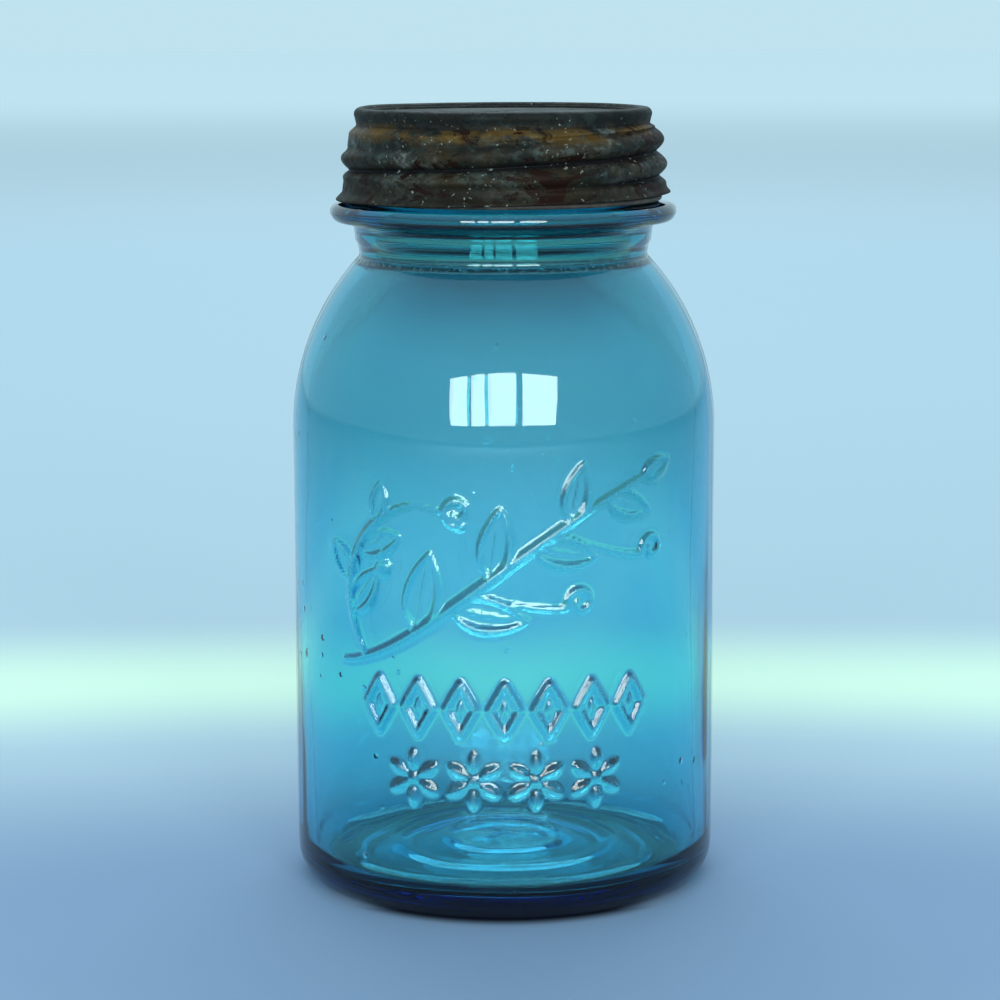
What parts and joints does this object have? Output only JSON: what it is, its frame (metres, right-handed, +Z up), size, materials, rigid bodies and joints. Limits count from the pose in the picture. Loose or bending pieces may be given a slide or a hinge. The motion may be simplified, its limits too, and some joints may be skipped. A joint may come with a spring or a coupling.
{
  "type": "mason jar",
  "caption": "Blue-green glass canning jar with a sloping shoulder and sealing bead, closed by a threaded zinc screw cap with an opal liner and a rubber ring.",
  "frame": {"origin": "centre of the standing ring, on the surface the jar stands on", "axes": "+Z up along the axis of the jar and its cap; +X and +Y are free, and the mould seams lie on the X axis"},
  "size_m": [0.0984, 0.0984, 0.1811],
  "materials": {
    "aqua_glass": "clear blue-green pressed glass, glossy, with seeds, waves and mould seams",
    "ring_rubber": "aged dark rubber, matt",
    "opal_glass": "white opal glass, glossy, opaque",
    "aged_zinc": "oxidised zinc sheet, dull grey with ochre and dark brown corrosion"
  },
  "bodies": {
    "jar": {"glass_jar": "aqua_glass", "sealing_ring": "ring_rubber"},
    "liner": {"cap_liner": "opal_glass"},
    "cap": {"zinc_cap": "aged_zinc"}
  },
  "joints": [
    {"name": "cap_lift", "type": "slide", "parent": "jar", "child": "liner", "axis": [0, 0, 1], "range_m": [0, 0.0228]},
    {"name": "cap_turn", "type": "hinge", "parent": "liner", "child": "cap", "pos_m": [0, 0, 0.17], "axis": [0, 0, 1], "range_deg": [0, 1440]}
  ],
  "couplings": [
    {"joint": "cap_lift", "follows": "cap_turn", "m_per_rad": 0.00090718}
  ]
}
